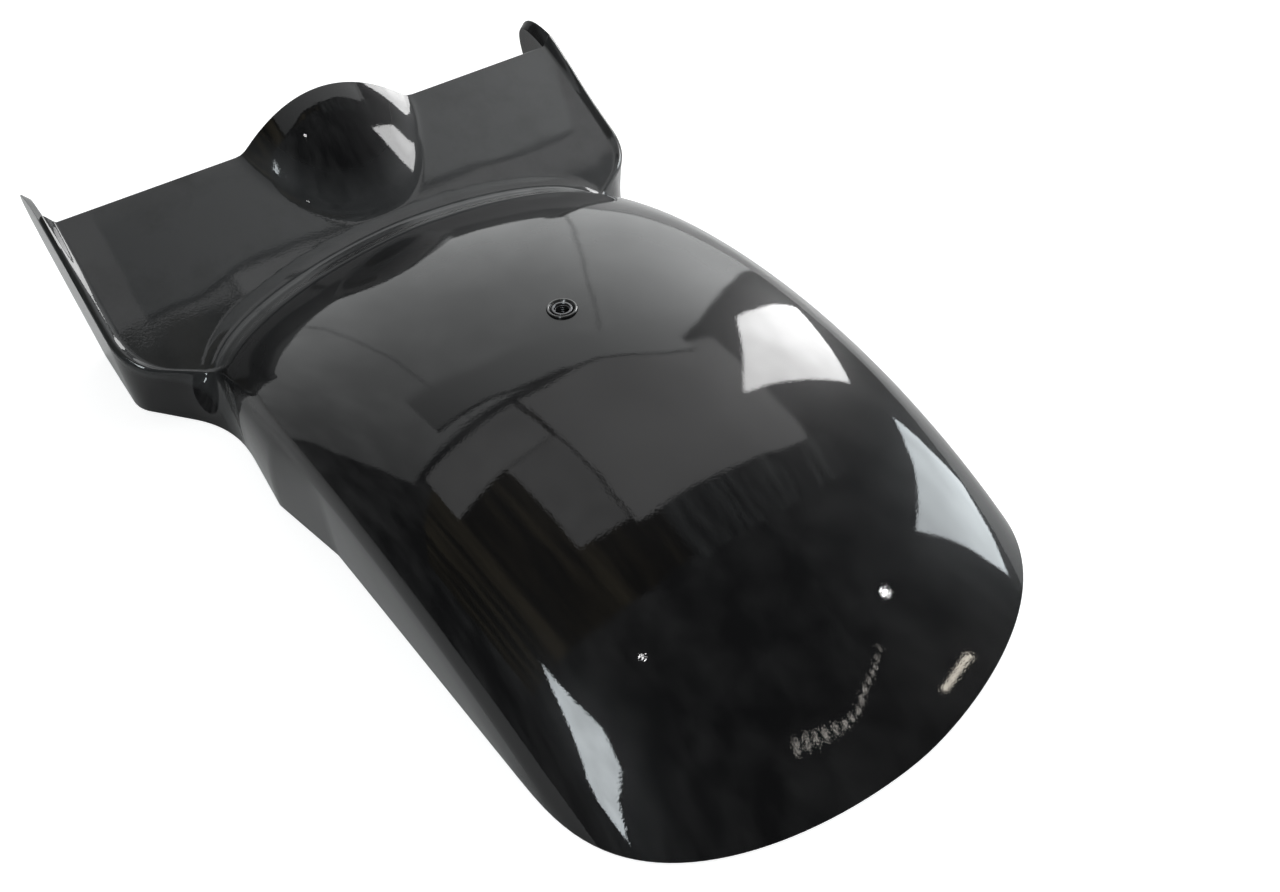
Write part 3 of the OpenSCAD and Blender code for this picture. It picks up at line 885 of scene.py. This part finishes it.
def black_rubber():
    """Black rubber with the shine of a wiped surface."""
    mat, tree, shader = new_material("black_rubber")
    shader.inputs["Base Color"].default_value = (0.014, 0.014, 0.014, 1)
    shader.inputs["Roughness"].default_value = 0.3
    shader.inputs["Coat Weight"].default_value = 1.0
    shader.inputs["Coat Roughness"].default_value = 0.08
    tree.links.new(bumped(tree, [(noise(tree, 2500, 3), RUBBER_DEPTH)]), shader.inputs["Normal"])
    return mat


grommet.data.materials.append(black_rubber())
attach(grommet, "root")
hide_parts("nut_grommet")
print("grommet", len(grommet.data.polygons), "faces")

# %% [markdown]
# ## The nut and its thread
#
# The nut has a neck in the rubber, and a flange and a barrel under the shell. Its thread is what
# Geometry Nodes are good at: one small profile carried along a helix. A spiral gives the path, a
# three-sided ring the profile, and named inputs hold the pitch, the radius and the depth.
# %% Nut body
THREAD_CORE, THREAD_ROOT, PITCH = 3.4, 4.0, 1.25
NECK_R, NECK_UP, FLANGE_R, FLANGE_H, BARREL_R, BARREL_H = 5.1, 1.2, 12.0, 2.5, 6.5, 5.0
SMALL, LARGE = 0.2, 0.3  # chamfers
NECK_TOP, FLANGE_Z = SEAT_Z + NECK_UP, UNDER_Z - FLANGE_H
BARREL_Z = FLANGE_Z - BARREL_H
nut_profile = [(THREAD_ROOT + SMALL, BARREL_Z), (BARREL_R - LARGE, BARREL_Z), (BARREL_R, BARREL_Z + LARGE),
               (BARREL_R, FLANGE_Z), (FLANGE_R - SMALL, FLANGE_Z), (FLANGE_R, FLANGE_Z + SMALL),
               (FLANGE_R, UNDER_Z - SMALL), (FLANGE_R - SMALL, UNDER_Z), (NECK_R, UNDER_Z)]
nut_profile += arc(NECK_R - LARGE, NECK_TOP - LARGE, LARGE, 0, 90)
nut_profile += [(THREAD_ROOT + SMALL, NECK_TOP), (THREAD_ROOT, NECK_TOP - LARGE),
                (THREAD_ROOT, BARREL_Z + SMALL)]
nut = link("seat_nut_threaded", turned("seat_nut_body", nut_profile))
soften(nut.data, 25)


def nut_steel():
    """Dark plated steel with a fine grain."""
    mat, tree, shader = new_material("dark_plated_steel")
    shader.inputs["Base Color"].default_value = (0.16, 0.16, 0.165, 1)
    shader.inputs["Metallic"].default_value = 1.0
    tree.links.new(remap(tree, noise(tree, 400, 3), 0.3, 0.7, 0.22, 0.36), shader.inputs["Roughness"])
    tree.links.new(bumped(tree, [(noise(tree, 1800, 2), 0.00001)]), shader.inputs["Normal"])
    return mat


steel = nut_steel()
print("nut from", round(BARREL_Z, 1), "to", round(NECK_TOP, 1), "mm")

# %% Thread by Geometry Nodes
def thread_tree():
    """A node tree that carries a three-sided ring along a helix."""
    tree = bpy.data.node_groups.new("thread", "GeometryNodeTree")
    tree.interface.new_socket("Geometry", in_out="OUTPUT", socket_type="NodeSocketGeometry")
    sockets = {}
    for label in ("Radius", "Pitch", "Turns", "Depth"):
        sockets[label] = tree.interface.new_socket(label, in_out="INPUT", socket_type="NodeSocketFloat")
    sockets["Finish"] = tree.interface.new_socket("Finish", in_out="INPUT", socket_type="NodeSocketMaterial")
    given, out = tree.nodes.new("NodeGroupInput"), tree.nodes.new("NodeGroupOutput")
    helix = node(tree, "GeometryNodeCurveSpiral", Resolution=40)
    ring = node(tree, "GeometryNodeCurvePrimitiveCircle", Resolution=3)
    height = tree.nodes.new("ShaderNodeMath")
    height.operation = "MULTIPLY"
    sweep, whole, paint = (tree.nodes.new(kind) for kind in (
        "GeometryNodeCurveToMesh", "GeometryNodeRealizeInstances", "GeometryNodeSetMaterial"))
    sweep.inputs["Fill Caps"].default_value = True
    wires = [(given.outputs["Radius"], helix.inputs["Start Radius"]),
             (given.outputs["Radius"], helix.inputs["End Radius"]),
             (given.outputs["Turns"], helix.inputs["Rotations"]), (given.outputs["Pitch"], height.inputs[0]),
             (given.outputs["Turns"], height.inputs[1]), (height.outputs[0], helix.inputs["Height"]),
             (given.outputs["Depth"], ring.inputs["Radius"]), (helix.outputs[0], sweep.inputs["Curve"]),
             (ring.outputs[0], sweep.inputs["Profile Curve"]), (sweep.outputs[0], whole.inputs[0]),
             (whole.outputs[0], paint.inputs["Geometry"]),
             (given.outputs["Finish"], paint.inputs["Material"]), (paint.outputs[0], out.inputs[0])]
    for source, target in wires:
        tree.links.new(source, target)
    return tree, {label: socket.identifier for label, socket in sockets.items()}


HELIX_START, RIDGE, HELIX_SHORT = 0.5, 0.6, 1.4


def make_thread():
    """The thread's mesh, from the tree's modifier, at its place in the nut."""
    tree, ids = thread_tree()
    thread = link("thread", bpy.data.meshes.new("thread"))
    mod = thread.modifiers.new("thread", "NODES")
    mod.node_group = tree
    depth = (THREAD_ROOT - THREAD_CORE) * MM
    values = {"Radius": THREAD_ROOT * MM - 0.5 * depth, "Pitch": PITCH * MM, "Depth": RIDGE * depth,
              "Turns": (NECK_TOP - BARREL_Z - HELIX_SHORT) / PITCH, "Finish": steel}
    for label, value in values.items():
        mod[ids[label]] = value
    mesh = plain_mesh(thread)
    mesh.transform(Matrix.Translation((0, NUT_Y * MM, (BARREL_Z + HELIX_START) * MM)))
    return thread, mesh


thread, thread_mesh = make_thread()
print("thread", len(thread_mesh.polygons), "faces")

# %% Join nut and thread
nut.data.materials.append(steel)
form = bmesh.new()
form.from_mesh(nut.data)
form.from_mesh(thread_mesh)
form.to_mesh(nut.data)
form.free()
bpy.data.objects.remove(thread)
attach(nut, "root")
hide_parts("seat_nut")
print("nut", len(nut.data.polygons), "faces")
